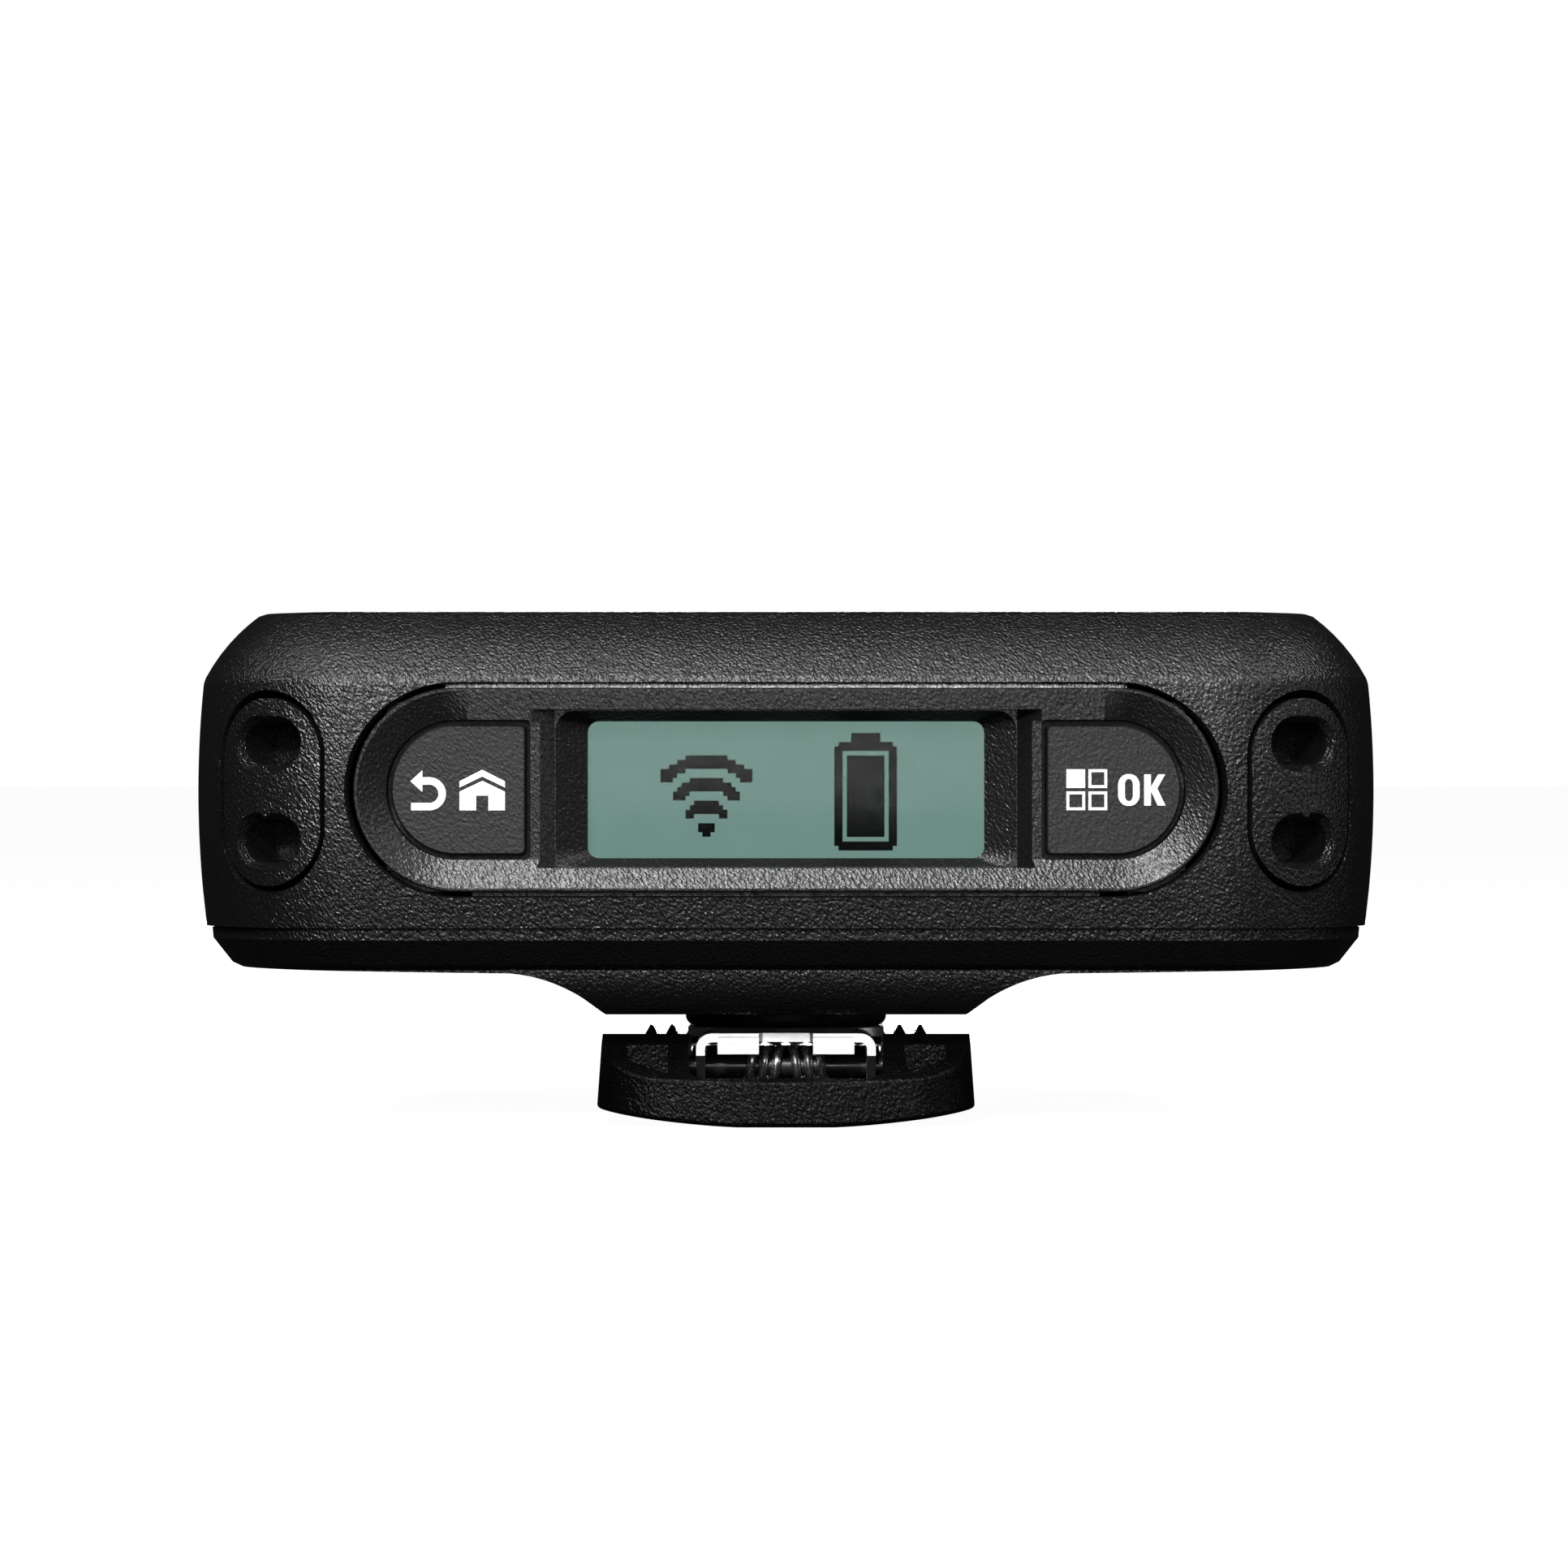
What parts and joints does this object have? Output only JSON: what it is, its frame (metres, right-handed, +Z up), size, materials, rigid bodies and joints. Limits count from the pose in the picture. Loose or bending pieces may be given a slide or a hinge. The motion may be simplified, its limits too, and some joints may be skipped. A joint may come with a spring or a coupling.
{
  "type": "wireless flash trigger",
  "caption": "Pocket-size radio flash trigger with a display and two buttons on its front edge, corner strap inserts and a sprung swivel clip underneath.",
  "frame": {"origin": "centre of the bounding box on the plane the clip arm rests on", "axes": "+Z up out of the flat top, -Y out of the display and button edge, +X to the right when looking at the display"},
  "size_m": [0.0726, 0.0482, 0.0313],
  "materials": {
    "housing": "fine leather grain, satin black",
    "panel": "fine leather grain, satin black",
    "lug": "fine leather grain, satin black",
    "button": "fine grain, matt black",
    "clip": "leather grain, satin black",
    "hub": "smooth, satin black",
    "rubber": "matt",
    "dark_steel": "black oxide",
    "bright_steel": "bright zinc-free stainless, rolled edge",
    "spring_steel": "polished spring wire",
    "black_pin": "black, satin",
    "window": "clear, glossy",
    "display": "grey-green display",
    "light_guide": "milky white",
    "inner_plastic": "moulded",
    "switch_case": "moulded",
    "circuit_board": "green solder mask",
    "tin_plate": "tin plated",
    "antenna_film": "amber film",
    "cell_foil": "silver foil",
    "foam": "foam",
    "socket_plastic": "moulded, fine"
  },
  "bodies": {
    "housing": {"upper_housing": "housing", "lower_cover": "housing", "front_panel": "panel", "lug_insert_left": "lug", "lug_insert_right": "lug", "housing_gasket": "rubber", "cover_screws": "dark_steel", "display_window": "window", "display_glass": "display", "display_backlight": "light_guide", "display_frame": "inner_plastic", "back_switch": "switch_case", "ok_switch": "switch_case", "key_board": "circuit_board", "main_board": "circuit_board", "radio_shield": "tin_plate", "antenna": "antenna_film", "battery_cell": "cell_foil", "battery_pad": "foam", "usb_port": "tin_plate", "sync_jack": "socket_plastic"},
    "back_button": {"back_button": "button", "back_switch_plunger": "inner_plastic"},
    "ok_button": {"ok_button": "button", "ok_switch_plunger": "inner_plastic"},
    "clip_mount": {"clip_hub": "hub", "swivel_washer": "tin_plate", "swivel_screw": "dark_steel", "clip_bracket": "bright_steel", "clip_rivets": "bright_steel", "clip_axle": "black_pin", "torsion_spring_left": "spring_steel", "torsion_spring_right": "spring_steel"},
    "clip_arm": {"clip_arm": "clip"}
  },
  "joints": [
    {"name": "back_button_press", "type": "slide", "parent": "housing", "child": "back_button", "axis": [0, 1, 0], "range_m": [0, 0.0004], "stiffness_N_per_m": 2500, "springref_m": -0.00012},
    {"name": "ok_button_press", "type": "slide", "parent": "housing", "child": "ok_button", "axis": [0, 1, 0], "range_m": [0, 0.0004], "stiffness_N_per_m": 2500, "springref_m": -0.00012},
    {"name": "clip_swivel", "type": "hinge", "parent": "housing", "child": "clip_mount", "pos_m": [0, -0.003, 0.0068], "axis": [0, 0, 1], "range_deg": [-90, 90]},
    {"name": "clip_arm_hinge", "type": "hinge", "parent": "clip_mount", "child": "clip_arm", "pos_m": [0, -0.0145, 0.00342], "axis": [-1, 0, 0], "range_deg": [0, 24], "stiffness_Nm_per_rad": 0.1, "springref_deg": -28.65, "deforming": ["torsion_spring_left", "torsion_spring_right"]}
  ]
}
